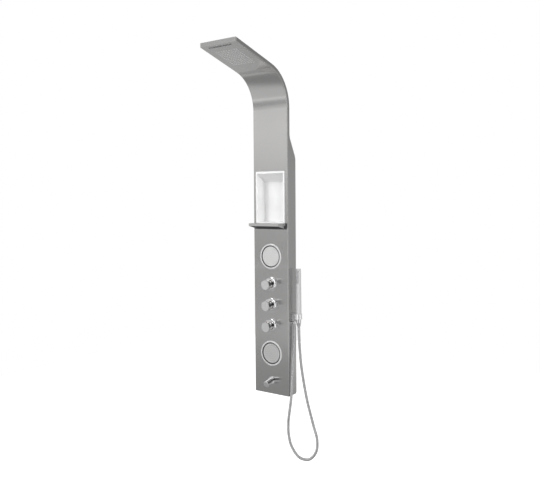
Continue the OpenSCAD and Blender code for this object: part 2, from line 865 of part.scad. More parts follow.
module inlet(side) {
    on_wall() color([0.75, 0.6, 0.3]) at_inlet(side) translate([0, 0, -inlet_leg - inlet_hex_h]) difference() {
        union() {
            cylinder(r = inlet_hex_r, h = inlet_hex_h, $fn = 6);
            translate([0, 0, -inlet_l]) cylinder(r = inlet_r, h = inlet_l);
        }
        translate([0, 0, -inlet_l - overrun]) cylinder(r = inlet_bore_r, h = inlet_l + inlet_hex_h);
    }
}

module hot_inlet() { inlet(-1); }
module cold_inlet() { inlet(1); }

// Domed flange, hollow over the nut that clamps the valve to the sheet
module knob_flange(height) {
    dome = knob_flange_h - flange_edge;
    on_wall() color([0.88, 0.88, 0.9]) on_front(height) rotate_extrude() polygon(concat(
        [[flange_hole_r, flange_cavity_h], [flange_cavity_r, flange_cavity_h],
            [flange_cavity_r, 0], [knob_flange_r, 0]],
        [for (i = [0 : arc_steps]) let (a = 90 * i / arc_steps)
            [flange_hole_r + (knob_flange_r - flange_hole_r) * cos(a), flange_edge + dome * sin(a)]]
    ));
}

module diverter_flange() { knob_flange(diverter_z); }
module flow_flange() { knob_flange(flow_z); }
module temperature_flange() { knob_flange(temperature_z); }

// Profile of a knob as radius and height: neck, hollow curve, straight grip and chamfered edge
module knob_profile() {
    low = knob_flange_h + slip;
    curve_h = knob_reach - grip_l - low;
    flare = knob_r - knob_neck_r;
    polygon(concat(
        [[0, low], [knob_neck_r, low]],
        [for (i = [0 : arc_steps]) let (a = 90 * i / arc_steps)
            [knob_r - flare * cos(a), low + curve_h * (curve_low_share + (1 - curve_low_share) * sin(a))]],
        [[knob_r, knob_reach - knob_chamfer], [knob_r - knob_chamfer, knob_reach], [0, knob_reach]]
    ));
}

module knob(height, grooved) {
    on_wall() color([0.88, 0.88, 0.9]) on_front(height) difference() {
        rotate_extrude() knob_profile();
        translate([0, 0, -overrun]) cylinder(r = spindle_r + running, h = spindle_out + overrun);
        translate([0, 0, knob_reach - cap_t + cap_proud]) cylinder(r = cap_r + cap_rim, h = cap_t + overrun);
        if (grooved) {
            for (z = [knob_reach - grip_l, knob_reach - grip_l + groove_gap])
                translate([0, 0, z]) rotate_extrude() translate([knob_r, 0]) circle(groove_r);
            translate([0, knob_r - button_l - button_spring_room + button_out, button_y])
                rotate([-90, 0, 0])
                    cylinder(r = button_r + running, h = button_l + overrun + button_spring_room);
        }
    }
}

module diverter_knob() { knob(diverter_z, false); }
module flow_knob() { knob(flow_z, false); }
module temperature_knob() { knob(temperature_z, true); }

module spindle(height) {
    on_wall() color([0.75, 0.6, 0.3]) on_front(height)
        translate([0, 0, -spindle_in + slip]) cylinder(r = spindle_r, h = spindle_in + spindle_out - slip);
}

module diverter_spindle() { spindle(diverter_z); }
module flow_spindle() { spindle(flow_z); }
module temperature_spindle() { spindle(temperature_z); }

module cap(height) {
    on_wall() color([0.86, 0.86, 0.87]) on_front(height)
        translate([0, 0, knob_reach - cap_t + cap_proud]) rotate_extrude() polygon([
            [0, 0], [cap_r, 0], [cap_r, cap_t - cap_rim], [cap_r - cap_rim, cap_t], [0, cap_t]
        ]);
}

module diverter_cap() { cap(diverter_z); }
module flow_cap() { cap(flow_z); }
module temperature_cap() { cap(temperature_z); }

module stop_button() {
    on_wall() color([0.7, 0.15, 0.12]) on_front(temperature_z)
        translate([0, knob_r + button_out - button_l, button_y]) rotate([-90, 0, 0])
            cylinder(r = button_r, h = button_l);
}

// Tube along straight runs, with a ball elbow at each corner
module pipe(points, radius) {
    for (i = [0 : len(points) - 2]) let (run = points[i + 1] - points[i], length = norm(run))
        translate(points[i]) rotate([0, acos(run[2] / length), atan2(run[1], run[0])])
            cylinder(r = radius, h = length);
    if (len(points) > 2) for (i = [1 : len(points) - 2]) translate(points[i]) sphere(radius + elbow);
}

// Corners of a pipe inside the arm: up the slab from a height, round the bend and along the head
function arm_points(x, from_z, along) = concat(
    [[x, front_y + arm_mid, from_z]],
    [for (i = [0 : pipe_corners]) let (a = bend_angle * i / pipe_corners, r = arm_bend_r + arm_mid)
        [x, bend_y + r * cos(a), arm_bend_z + r * sin(a)]],
    [[x, bend_y + (arm_bend_r + arm_mid) * cos(bend_angle) - along * sin(bend_angle), head_z(along, arm_mid)]]
);

module rain_pipe() {
    on_wall() color([0.85, 0.85, 0.86]) {
        pipe(concat([
            [tube_r - pipe_r, valve_y, valve_top_z], [tube_r - pipe_r, valve_y, first_bend_z],
            [side_pipe_x, side_pipe_y, second_bend_z], [side_pipe_x, side_pipe_y, column_top_z]
        ], arm_points(rain_x, slab_z, rain_middle - chamber_half_l - chamber_wall)), pipe_r);
    }
}

module waterfall_pipe() {
    on_wall() color([0.85, 0.85, 0.86]) {
        pipe(concat([
            [pipe_r - tube_r, valve_y, valve_top_z], [pipe_r - tube_r, valve_y, first_bend_z],
            [-side_pipe_x, side_pipe_y, second_bend_z], [-side_pipe_x, side_pipe_y, column_top_z]
        ], arm_points(-fall_pipe_x, slab_z, fall_middle + pipe_r)), pipe_r);
        in_head() translate([-fall_pipe_x, arm_mid, fall_middle]) rotate([0, 90, 0])
            cylinder(r = fall_feed_r, h = fall_pipe_x - fall_end_x);
    }
}

module jet_pipe() {
    on_wall() color([0.85, 0.85, 0.86]) {
        pipe([
            [-tube_r + push_in, valve_y, jet_pipe_z], [jet_pipe_x, valve_y, jet_pipe_z],
            [jet_pipe_x, jet_pipe_y, jet_pipe_z], [jet_pipe_x, jet_pipe_y, upper_jet_z],
            [0, jet_pipe_y, upper_jet_z], [0, jet_tail_y - thin_pipe_r, upper_jet_z]
        ], thin_pipe_r);
        pipe([
            [jet_pipe_x, jet_pipe_y, jet_pipe_z], [jet_pipe_x, jet_pipe_y, lower_jet_z],
            [0, jet_pipe_y, lower_jet_z], [0, jet_tail_y - thin_pipe_r, lower_jet_z]
        ], thin_pipe_r);
    }
}

module handset_pipe() {
    start_z = flow_z - handset_pipe_drop;
    on_wall() color([0.85, 0.85, 0.86]) pipe([
        [tube_r - push_in, valve_y, start_z], [half_w / 2, valve_y, start_z],
        [half_w / 2, outlet_y, outlet_z], [half_w - sheet_t - outlet_tail_l, outlet_y, outlet_z]
    ], thin_pipe_r);
}

module spout_pipe() {
    bend_z = valve_low_z - 3 * thin_pipe_r;
    on_wall() color([0.85, 0.85, 0.86]) pipe([
        [0, valve_y, valve_low_z], [0, valve_y, bend_z], [spout_pipe_x, spout_pipe_y, bend_z - spout_pipe_x],
        [spout_pipe_x, spout_pipe_y, spout_z], [0, spout_pipe_y, spout_z],
        [0, front_y + sheet_t + spout_tail_l, spout_z]
    ], thin_pipe_r);
}

module spout() {
    on_wall() color([0.88, 0.88, 0.9]) on_front(spout_z) difference() {
        union() {
            cylinder(r = spout_flange_r, h = spout_flange_h);
            translate([0, 0, -spout_tail_l - sheet_t]) cylinder(r = spout_tail_r, h = spout_tail_l + sheet_t);
            rotate([spout_droop, 0, 0]) rotate_extrude() polygon(concat(
                [[0, spout_root], [spout_r, spout_root]],
                [for (i = [0 : arc_steps]) let (a = 90 * i / arc_steps)
                    [spout_r - spout_round + spout_round * cos(a), spout_l - spout_round + spout_round * sin(a)]],
                [[0, spout_l]]
            ));
        }
        aerator_place() cylinder(r = aerator_r + running, h = spout_r);
        translate([0, 0, -spout_tail_l - sheet_t - overrun])
            cylinder(r = spout_bore_r, h = spout_tail_l + sheet_t + spout_l / 2 + overrun);
    }
}

// Local z points up into the spout from the aerator's lower face
module aerator_place() {
    rotate([spout_droop, 0, 0]) translate([0, -spout_r - aerator_h / 2, spout_l - aerator_set])
        rotate([-90, 0, 0]) children();
}

module aerator() {
    on_wall() color([0.5, 0.5, 0.52]) on_front(spout_z) difference() {
        aerator_place() cylinder(r = aerator_r, h = spout_r - running);
        aerator_place() translate([0, 0, -overrun])
            cylinder(r = aerator_r - aerator_wall, h = overrun + aerator_recess);
    }
}

module spout_nut() {
    on_wall() color([0.75, 0.6, 0.3]) on_front(spout_z) translate([0, 0, -sheet_t - spout_nut_h]) difference() {
        cylinder(r = spout_nut_r, h = spout_nut_h, $fn = 6);
        translate([0, 0, -overrun]) cylinder(r = spout_tail_r + running, h = spout_nut_h + 2 * overrun);
    }
}

module hose_outlet() {
    on_wall() color([0.88, 0.88, 0.9]) {
        on_side(outlet_y, outlet_z) {
            cylinder(r = outlet_flange_r, h = outlet_flange_h);
            cylinder(r = outlet_tube_r, h = outlet_out);
            translate([0, 0, -outlet_tail_l - sheet_t])
                cylinder(r = outlet_tail_r, h = outlet_tail_l + sheet_t);
        }
        translate([half_w + outlet_out, outlet_y, outlet_z]) {
            sphere(outlet_tube_r);
            translate([0, 0, -outlet_drop]) cylinder(r = outlet_tube_r, h = outlet_drop);
        }
    }
}

module outlet_fixing_nut() {
    on_wall() color([0.75, 0.6, 0.3]) on_side(outlet_y, outlet_z)
        translate([0, 0, -sheet_t - outlet_nut_h]) difference() {
            cylinder(r = outlet_nut_r, h = outlet_nut_h, $fn = 6);
            translate([0, 0, -overrun]) cylinder(r = outlet_tail_r + running, h = outlet_nut_h + 2 * overrun);
        }
}

module outlet_hose_nut() {
    low = hose_route[0].z;
    on_wall() color([0.88, 0.88, 0.9]) translate([half_w + outlet_out, outlet_y, low])
        cylinder(r1 = hose_r, r2 = hose_nut_r, h = outlet_z - outlet_drop - low);
}

module holder() {
    on_wall() color([0.86, 0.86, 0.88]) difference() {
        union() {
            translate([0, 0, holder_low]) linear_extrude(holder_h) {
                translate([handset_x, handset_y]) circle(holder_r);
                translate([half_w, handset_y - holder_r]) square([handset_out, 2 * holder_r]);
            }
            on_side(handset_y, holder_low + holder_h / 2) linear_extrude(holder_plate_t)
                translate([0, -holder_plate_w / 2]) rounded_plate(holder_h, holder_plate_w, fold_r);
        }
        translate([handset_x, handset_y, holder_low - overrun])
            cylinder(r = holder_bore_r, h = holder_h + 2 * overrun);
    }
}

module stick_slice(width, height) {
    translate([handset_x, handset_y, height]) linear_extrude(slip)
        translate([0, -width / 2]) rounded_plate(width, width, stick_r, $fn = stick_steps);
}

module handset_body() {
    foot = holder_z + slip;
    on_wall() color([0.86, 0.86, 0.88]) difference() {
        union() {
            hull() {
                stick_slice(stick_w, foot);
                stick_slice(stick_top_w, stick_top_z - slip - stick_r / 2);
                stick_slice(stick_top_w - stick_r, stick_top_z - slip);
            }
            translate([handset_x, handset_y, holder_low]) cylinder(r = connector_r, h = holder_h + slip);
        }
        // Pocket of the spray face
        translate([handset_x - spray_w / 2, handset_y - spray_inset - stick_w, spray_low_z])
            cube([spray_w, stick_w, spray_l]);
    }
}

module spray_face() {
    on_wall() color([0.6, 0.6, 0.61]) difference() {
        translate([handset_x - spray_w / 2 + running, handset_y - spray_inset - spray_t, spray_low_z + running])
            cube([spray_w - 2 * running, spray_t, spray_l - 2 * running]);
        for (i = [0 : spray_columns], j = [0 : spray_rows - 1])
            translate([
                handset_x + (i - spray_columns / 2) * spray_gap,
                handset_y - spray_inset + overrun,
                spray_low_z + spray_l / 2 + (j - (spray_rows - 1) / 2) * spray_pitch
            ]) rotate([90, 0, 0]) cylinder(r = spray_hole, h = spray_t + 2 * overrun);
    }
}

module handset_nut() {
    on_wall() color([0.88, 0.88, 0.9]) translate([handset_x, handset_y, holder_low - handset_nut_l])
        rotate_extrude() polygon([
            [0, 0], [hose_nut_r, 0], [connector_r, handset_nut_l / 2], [connector_r, handset_nut_l],
            [0, handset_nut_l]
        ]);
}

// Point on the smooth curve through the hose's route, u counting its points
function route_at(u) =
    let (last = len(hose_route) - 1, i = min(floor(u), last - 1), t = u - i,
        p1 = hose_route[i], p2 = hose_route[i + 1],
        p0 = i > 0 ? hose_route[i - 1] : 2 * p1 - p2,
        p3 = i + 2 <= last ? hose_route[i + 2] : 2 * p2 - p1)
    (2 * p1 + (p2 - p0) * t + (2 * p0 - 5 * p1 + 4 * p2 - p3) * t * t
        + (3 * p1 - p0 - 3 * p2 + p3) * t * t * t) / 2;
function unit(v) = v / norm(v);
function route_way(u) =
    let (last = len(hose_route) - 1, step = way_step_share)
    u < step || u > last - step ? [0, 0, u < step ? -1 : 1] : unit(route_at(u + step) - route_at(u - step));
function ring(u, radius) =
    let (way = route_way(u), side = unit(cross(way, [0, 1, 0])), rise = cross(side, way), at = route_at(u))
    [for (k = [0 : hose_sides - 1]) let (a = 360 * k / hose_sides)
        at + radius * (cos(a) * side + sin(a) * rise)];

// Ribbed tube with its bore: rings of points run down the outside and back up the bore
module hose() {
    spans = len(hose_route) - 1;
    ribs = spans * ribs_per_span;
    bores = spans * bore_rings_per_span;
    outer = [for (i = [0 : 2 * ribs]) ring(i / 2 / ribs_per_span, i % 2 == 0 ? hose_r - hose_groove : hose_r)];
    inner = [for (i = [bores : -1 : 0]) ring(i / bore_rings_per_span, hose_bore_r)];
    rings = concat(outer, inner);
    n = len(rings);
    s = hose_sides;
    points = [for (r = rings) each r];
    faces = [for (i = [0 : n - 1], k = [0 : s - 1], half = [0, 1])
        let (a = i * s + k, b = i * s + (k + 1) % s, c = ((i + 1) % n) * s + k, d = ((i + 1) % n) * s + (k + 1) % s)
        half == 0 ? [a, c, b] : [b, c, d]];
    on_wall() color([0.8, 0.8, 0.81]) polyhedron(points, faces);
}

column_shell();
arm_cover();
upper_hanger();
lower_hanger();
upper_wall_bracket();
lower_wall_bracket();
niche_insert();
shelf_rail();
shelf();
shelf_screws();
rain_chamber();
rain_nozzles();
waterfall_box();
upper_jet_ring();
upper_jet_cup();
upper_jet_plate();
upper_jet_nut();
lower_jet_ring();
lower_jet_cup();
lower_jet_plate();
lower_jet_nut();
valve_body();
valve_nuts();
hot_inlet();
cold_inlet();
diverter_flange();
flow_flange();
temperature_flange();
diverter_knob();
flow_knob();
temperature_knob();
diverter_spindle();
flow_spindle();
temperature_spindle();
diverter_cap();
flow_cap();
temperature_cap();
stop_button();
rain_pipe();
waterfall_pipe();
jet_pipe();
handset_pipe();
spout_pipe();
spout();
spout_nut();
aerator();
hose_outlet();
outlet_fixing_nut();
outlet_hose_nut();
holder();
handset_body();
spray_face();
handset_nut();
hose();
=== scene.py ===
import bpy
import json
import math
import numpy as np
from mathutils import Matrix, Vector


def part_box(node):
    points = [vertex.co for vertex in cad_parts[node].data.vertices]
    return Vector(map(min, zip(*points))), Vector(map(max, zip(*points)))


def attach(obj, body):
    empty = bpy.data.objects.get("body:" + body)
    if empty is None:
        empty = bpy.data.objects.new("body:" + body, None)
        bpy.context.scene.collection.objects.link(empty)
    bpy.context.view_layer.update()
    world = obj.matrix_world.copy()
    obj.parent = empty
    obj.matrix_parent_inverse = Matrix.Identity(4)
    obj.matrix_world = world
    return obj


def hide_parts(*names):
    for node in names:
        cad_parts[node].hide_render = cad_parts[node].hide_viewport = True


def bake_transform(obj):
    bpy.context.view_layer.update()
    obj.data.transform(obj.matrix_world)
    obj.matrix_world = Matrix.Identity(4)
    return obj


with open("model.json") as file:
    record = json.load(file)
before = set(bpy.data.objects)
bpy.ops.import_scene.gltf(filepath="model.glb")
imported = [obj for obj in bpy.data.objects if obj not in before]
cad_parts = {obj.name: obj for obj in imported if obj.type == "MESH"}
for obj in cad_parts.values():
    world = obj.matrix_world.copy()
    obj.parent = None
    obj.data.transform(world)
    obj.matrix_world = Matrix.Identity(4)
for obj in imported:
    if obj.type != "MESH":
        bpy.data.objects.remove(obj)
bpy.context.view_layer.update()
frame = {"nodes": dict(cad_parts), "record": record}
nodes = frame["nodes"]
print("frame loaded")


def addObject(name, data):
    made = bpy.data.objects.new(name, data)
    bpy.context.scene.collection.objects.link(made)
    return made


# Camera, in the place the photograph was taken from. Its lens and sensor are in millimetres.
camera = {
    "place": (1.82458, -2.63512, -0.16555), "yaw": 35.466, "pitch": -3.395, "roll": -0.432,
    "lens": 43.59, "sensor": 36, "near": 0.05, "far": 60,
}


def makeCamera():
    data = bpy.data.cameras.new("camera")
    data.sensor_width = camera["sensor"]
    data.lens = camera["lens"]
    data.clip_start, data.clip_end = camera["near"], camera["far"]
    turn = (
        Matrix.Rotation(math.radians(camera["yaw"]), 4, "Z")
        @ Matrix.Rotation(math.radians(90 + camera["pitch"]), 4, "X")
        @ Matrix.Rotation(math.radians(camera["roll"]), 4, "Z")
    )
    made = addObject("camera", data)
    made.matrix_world = Matrix.Translation(camera["place"]) @ turn
    bpy.context.scene.camera = made


makeCamera()


def addNode(tree, kind, values=(), settings=()):
    made = tree.nodes.new(kind)
    for key, value in dict(settings).items():
        setattr(made, key, value)
    for key, value in dict(values).items():
        made.inputs[key].default_value = value
    return made


# Gives an input a plain number, or links it to another socket
def feed(tree, target, source):
    if isinstance(source, (int, float)):
        target.default_value = source
    else:
        tree.links.new(source, target)


def mathNode(tree, operation, *sources):
    made = addNode(tree, "ShaderNodeMath", settings={"operation": operation})
    for target, source in zip(made.inputs, sources):
        feed(tree, target, source)
    return made.outputs["Value"]


def vectorNode(tree, operation, source, second=(0, 0, 0)):
    made = addNode(tree, "ShaderNodeVectorMath", {1: second}, {"operation": operation})
    tree.links.new(source, made.inputs[0])
    return made.outputs["Value" if operation in ("DOT_PRODUCT", "LENGTH") else "Vector"]


def splitVector(tree, source):
    made = addNode(tree, "ShaderNodeSeparateXYZ")
    tree.links.new(source, made.inputs["Vector"])
    return made.outputs


def mixNumbers(tree, share, first, second):
    made = addNode(tree, "ShaderNodeMix", settings={"data_type": "FLOAT"})
    for key, source in (("Factor", share), ("A", first), ("B", second)):
        feed(tree, made.inputs[key], source)
    return made.outputs["Result"]


def objectPlace(tree):
    return addNode(tree, "ShaderNodeTexCoord").outputs["Object"]


def newMaterial(name, color, metallic=0.0, roughness=0.5):
    made = bpy.data.materials.new(name)
    made.use_nodes = True
    shader = made.node_tree.nodes["Principled BSDF"]
    shader.inputs["Base Color"].default_value = (*color, 1)
    shader.inputs["Metallic"].default_value = metallic
    shader.inputs["Roughness"].default_value = roughness
    return made, made.node_tree, shader


# Finishes: the grain and detail of each kind's noise, the shares of its colour and of its
# roughness where that noise is low and high, and the strength and depth of its bump. Patches
# are a broader noise for the colour.
noiseReach = (0.3, 0.7)  # most of a noise lies between these
looks = {
    "polished": {
        "metallic": 1.0, "grain": 60.0, "detail": 3.0,
        "color": (0.97, 1.02), "roughness": (0.7, 1.5),
    },
    "turned": {
        "metallic": 1.0, "grain": 40.0, "detail": 4.0,
        "color": (0.8, 1.1), "roughness": (0.8, 1.4), "bump": (0.1, 0.0004),
    },
    "moulded": {
        "metallic": 0.0, "grain": 700.0, "detail": 3.0, "patches": 12.0, "patchDetail": 2.0,
        "color": (0.96, 1.03), "roughness": (0.85, 1.2), "bump": (0.05, 0.0003),
    },
    "plated": {  # bright plating over plastic, between metal and white
        "metallic": 0.5, "grain": 90.0, "detail": 3.0,
        "color": (0.97, 1.02), "roughness": (0.8, 1.3),
    },
}
brushing = {
    "pitch": 0.0006,
    "stretch": 60,  # length of a line, in pitches
    "detail": 3.0,
    "noiseRoughness": 0.6,
    "side": 0.7,  # a face is a side where its normal has more of x than this
    "square": (0.03, -0.3, 1),  # the tangent is square to this and to the surface
    "clouds": 6.0,
    "cloudDetail": 2.0,
    "cloudShare": 0.3,
    "roughness": (0.9, 1.1),
    "bump": (0.1, 0.00005),
}


def objectNoise(tree, grain, detail):
    made = addNode(tree, "ShaderNodeTexNoise", {"Scale": grain, "Detail": detail})
    tree.links.new(objectPlace(tree), made.inputs["Vector"])
    return made.outputs["Fac"]


def varyNumber(tree, source, value, shares, target):
    made = addNode(tree, "ShaderNodeMapRange", {
        "From Min": noiseReach[0], "From Max": noiseReach[1],
        "To Min": value * shares[0], "To Max": value * shares[1],
    })
    tree.links.new(source, made.inputs["Value"])
    tree.links.new(made.outputs["Result"], target)


def varyColor(tree, source, color, shares, target):
    made = addNode(tree, "ShaderNodeValToRGB")
    for element, at, share in zip(made.color_ramp.elements, noiseReach, shares):
        element.position = at
        element.color = (*(part * share for part in color), 1)
    tree.links.new(source, made.inputs["Fac"])
    tree.links.new(made.outputs["Color"], target)


def bump(tree, shader, source, strength, depth):
    made = addNode(tree, "ShaderNodeBump", {"Strength": strength, "Distance": depth})
    tree.links.new(source, made.inputs["Height"])
    tree.links.new(made.outputs["Normal"], shader.inputs["Normal"])


# A finish of one of the kinds above; own values stand in for the kind's
def varied(kind, name, color, roughness, **own):
    look = {**looks[kind], **own}
    made, tree, shader = newMaterial(name, color, look["metallic"], roughness)
    fine = objectNoise(tree, look["grain"], look["detail"])
    broad = objectNoise(tree, look["patches"], look["patchDetail"]) if "patches" in look else fine
    varyColor(tree, broad, color, look["color"], shader.inputs["Base Color"])
    varyNumber(tree, fine, roughness, look["roughness"], shader.inputs["Roughness"])
    if "bump" in look:
        bump(tree, shader, fine, *look["bump"])
    shader.inputs["Coat Weight"].default_value = look.get("coat", 0.0)
    return made


# Brushing runs up the sheet, round its bend and along its arm. It needs a position across the
# lines, which is x on the front and y on the sides, and a tangent across them, which is nearly
# level on every face.
def brushLines(tree, pitch):
    axes = splitVector(tree, objectPlace(tree))
    facing = splitVector(tree, addNode(tree, "ShaderNodeNewGeometry").outputs["True Normal"])
    side = mathNode(tree, "GREATER_THAN", mathNode(tree, "ABSOLUTE", facing["X"]), brushing["side"])
    joined = addNode(tree, "ShaderNodeCombineXYZ")
    noise = addNode(tree, "ShaderNodeTexNoise", {
        "Scale": 1.0, "Detail": brushing["detail"], "Roughness": brushing["noiseRoughness"],
    })
    tree.links.new(mixNumbers(tree, side, axes["X"], axes["Y"]), joined.inputs["X"])
    tree.links.new(axes["Z"], joined.inputs["Y"])
    scale = (1 / pitch, 1 / pitch / brushing["stretch"], 0)
    scaled = vectorNode(tree, "MULTIPLY", joined.outputs["Vector"], scale)
    tree.links.new(scaled, noise.inputs["Vector"])
    return noise.outputs["Fac"]


def levelTangent(tree):
    facing = addNode(tree, "ShaderNodeNewGeometry").outputs["Normal"]
    across = vectorNode(tree, "CROSS_PRODUCT", facing, brushing["square"])
    return vectorNode(tree, "NORMALIZE", across)


def brushedSteel(name, color, roughness, contrast, anisotropy=0.0, pitch=brushing["pitch"]):
    made, tree, shader = newMaterial(name, color, 1.0, roughness)
    lines = brushLines(tree, pitch)
    clouds = objectNoise(tree, brushing["clouds"], brushing["cloudDetail"])
    mixed = mixNumbers(tree, brushing["cloudShare"], lines, clouds)
    varyColor(tree, mixed, color, (1 - contrast, 1 + contrast), shader.inputs["Base Color"])
    varyNumber(tree, lines, roughness, brushing["roughness"], shader.inputs["Roughness"])
    bump(tree, shader, lines, *brushing["bump"])
    shader.inputs["Anisotropic"].default_value = anisotropy
    tree.links.new(levelTangent(tree), shader.inputs["Tangent"])
    return made


finishes = {
    "brushed_steel": brushedSteel(
        "columnSteel", (0.55, 0.545, 0.54), 0.2, contrast=0.05, anisotropy=0.92
    ),
    "satin_steel": brushedSteel(
        "satinSteel", (0.68, 0.68, 0.67), 0.3, contrast=0.04, anisotropy=0.3
    ),
    "slot_steel": brushedSteel("slotSteel", (0.5, 0.5, 0.5), 0.4, contrast=0.05),
    "upper_plate": brushedSteel(
        "upperPlateSteel", (0.93, 0.93, 0.92), 0.3, contrast=0.03, pitch=0.0012
    ),
    "lower_plate": brushedSteel(
        "lowerPlateSteel", (0.74, 0.74, 0.73), 0.3, contrast=0.03, pitch=0.0012
    ),
    "cap_steel": brushedSteel("capSteel", (0.95, 0.95, 0.95), 0.25, contrast=0.02, pitch=0.0008),
    "ring_chrome": varied("plated", "ringChrome", (0.84, 0.84, 0.84), 0.15),
    "handset_chrome": varied("plated", "handsetChrome", (0.88, 0.88, 0.88), 0.12, metallic=0.55),
    "nozzle_chrome": varied("polished", "nozzleChrome", (0.9, 0.9, 0.9), 0.16),
    "nozzle_white": varied("moulded", "nozzleWhite", (0.97, 0.97, 0.97), 0.3, grain=600.0),
    # Knob spindles: turned metal made near-black as painted shade in the gap between each knob and
    # its flange
    "spindle_painted_shade": varied("turned", "spindlePaintedShade", (0.15, 0.145, 0.14), 0.35),
    "zinc_steel": varied("turned", "zincSteel", (0.5, 0.5, 0.51), 0.45),
    "white_plastic": varied(
        "moulded", "whitePlastic", (0.9, 0.9, 0.9), 0.12, grain=400.0, coat=0.3
    ),
    "dark_plastic": varied("moulded", "darkPlastic", (0.06, 0.06, 0.062), 0.4),
    "black_plastic": varied("moulded", "blackPlastic", (0.015, 0.015, 0.016), 0.35),
    "grey_plastic": varied("moulded", "greyPlastic", (0.35, 0.35, 0.36), 0.4),
    "red_plastic": varied("moulded", "redPlastic", (0.3, 0.16, 0.16), 0.3, grain=500.0, coat=0.3),
    "pipe_plastic": varied("moulded", "pipePlastic", (0.7, 0.71, 0.73), 0.35, grain=500.0),
    "silicone": varied("moulded", "silicone", (0.74, 0.74, 0.75), 0.45, grain=900.0),
    "chrome": varied("polished", "chrome", (0.82, 0.82, 0.83), 0.06),
    "hose_steel": varied("polished", "hoseSteel", (0.72, 0.72, 0.73), 0.12),
    "brass": varied("turned", "brass", (0.6, 0.44, 0.2), 0.3),
}
slotOf = {row["node"]: row["material_slot"] for row in frame["record"]["subparts"]}
ownFinish = {  # nodes that don't take the finish of their slot
    "waterfall_box": "slot_steel",
    "handset_body": "handset_chrome", "holder": "handset_chrome",
    "upper_jet_ring": "ring_chrome", "lower_jet_ring": "ring_chrome",
    "upper_jet_plate": "upper_plate", "lower_jet_plate": "lower_plate",
    "diverter_cap": "cap_steel", "flow_cap": "cap_steel", "temperature_cap": "cap_steel",
    # the spindles take the near-black finish that paints shade in the knobs' gaps
    "diverter_spindle": "spindle_painted_shade", "flow_spindle": "spindle_painted_shade",
    "temperature_spindle": "spindle_painted_shade",
}


def dress(piece, finish):
    piece.data.materials.clear()
    piece.data.materials.append(finish)


for name, piece in nodes.items():
    dress(piece, finishes[ownFinish.get(name, slotOf[name])])
print("finishes made")


def newTree(name, sizes):
    tree = bpy.data.node_groups.new(name, "GeometryNodeTree")
    tree.interface.new_socket("Geometry", in_out="INPUT", socket_type="NodeSocketGeometry")
    tree.interface.new_socket("Geometry", in_out="OUTPUT", socket_type="NodeSocketGeometry")
    for key, value in sizes.items():
        kind = "NodeSocketInt" if isinstance(value, int) else "NodeSocketFloat"
        tree.interface.new_socket(key, in_out="INPUT", socket_type=kind).default_value = value
    return tree, tree.nodes.new("NodeGroupInput"), tree.nodes.new("NodeGroupOutput")


# Sets a shape on every point, turned about x
def setOnPoints(tree, entry, shape):
    turn = addNode(tree, "ShaderNodeCombineXYZ")
    made = addNode(tree, "GeometryNodeInstanceOnPoints")
    tree.links.new(entry.outputs["Turn"], turn.inputs["X"])
    tree.links.new(entry.outputs["Geometry"], made.inputs["Points"])
    tree.links.new(shape, made.inputs["Instance"])
    tree.links.new(turn.outputs["Vector"], made.inputs["Rotation"])
    return made.outputs["Instances"]


# Every tree ends in real geometry with its finish
def endTree(tree, leave, shape, finish):
    real = addNode(tree, "GeometryNodeRealizeInstances")
    finished = addNode(tree, "GeometryNodeSetMaterial", {"Material": finishes[finish]})
    tree.links.new(shape, real.inputs["Geometry"])
    tree.links.new(real.outputs["Geometry"], finished.inputs["Geometry"])
    tree.links.new(finished.outputs["Geometry"], leave.inputs["Geometry"])


# Runs a tree on a base mesh with its named sizes, and leaves the result as a plain mesh
def runTree(tree, base, sizes, name):
    made = addObject(name, base)
    modifier = made.modifiers.new(name, "NODES")
    modifier.node_group = tree
    for item in tree.interface.items_tree:
        if item.item_type == "SOCKET" and item.in_out == "INPUT" and item.name in sizes:
            modifier[item.identifier] = sizes[item.name]
    bpy.context.view_layer.update()
    shapes = bpy.context.evaluated_depsgraph_get()
    result = bpy.data.meshes.new_from_object(
        made.evaluated_get(shapes), preserve_all_data_layers=True, depsgraph=shapes
    )
    made.modifiers.clear()
    made.data = result
    result.name = name
    return made


# Hose: a ribbed tube along the route of the source, whose points are in millimetres, with their
# heights above the column's lower edge. The other lengths are in metres.
hose = {
    "radius": 0.007,
    "groove": 0.0009,  # depth between two ribs
    "ribPitch": 0.0027,
    "ringsPerRib": 4,
    "sides": 14,
    "originHeight": 1.104,  # of the frame's origin above the column's lower edge
    "smoothing": 60,  # short steps from one point of the route to the next
    "blendRings": 300,  # rings at the hand shower's end of the hose
    "followFrom": 0.35,  # from this share of the length the eased share of each ring begins to rise
    "followTo": 0.85,  # and at this one it reaches its full
    "route": [
        (112, -33, 336), (111, -35, 276), (110, -40, 216), (110, -46, 156), (109, -51, 96),
        (109, -56, 37), (105, -58, -23), (92, -52, -82), (80, -44, -141), (79, -39, -200),
        (92, -33, -257), (132, -28, -303), (186, -23, -303), (223, -19, -258), (226, -16, -199),
        (207, -15, -141), (189, -15, -84), (172, -15, -27), (159, -16, 32), (148, -17, 91),
        (139, -18, 150), (133, -18, 210), (129, -19, 273), (127, -19, 337),
    ],
}


# Smooth line through the route at even steps, and its length
def routeLine(step):
    points = np.array(hose["route"], float) / 1000 - np.array([0, 0, hose["originHeight"]])
    ends = np.vstack([2 * points[0] - points[1], points, 2 * points[-1] - points[-2]])
    dense = []
    for i in range(1, len(ends) - 2):
        p0, p1, p2, p3 = ends[i - 1 : i + 3]
        square, cube = 2 * p0 - 5 * p1 + 4 * p2 - p3, 3 * p1 - p0 - 3 * p2 + p3
        for t in np.linspace(0, 1, hose["smoothing"], endpoint=False):
            dense.append((2 * p1 + (p2 - p0) * t + square * t**2 + cube * t**3) / 2)
    dense = np.array(dense + [ends[-2]])
    run = np.concatenate([[0], np.cumsum(np.linalg.norm(np.diff(dense, axis=0), axis=1))])
    at = np.linspace(0, run[-1], int(round(run[-1] / step)) + 1)
    return np.stack([np.interp(at, run, dense[:, k]) for k in range(3)], 1), at[-1]


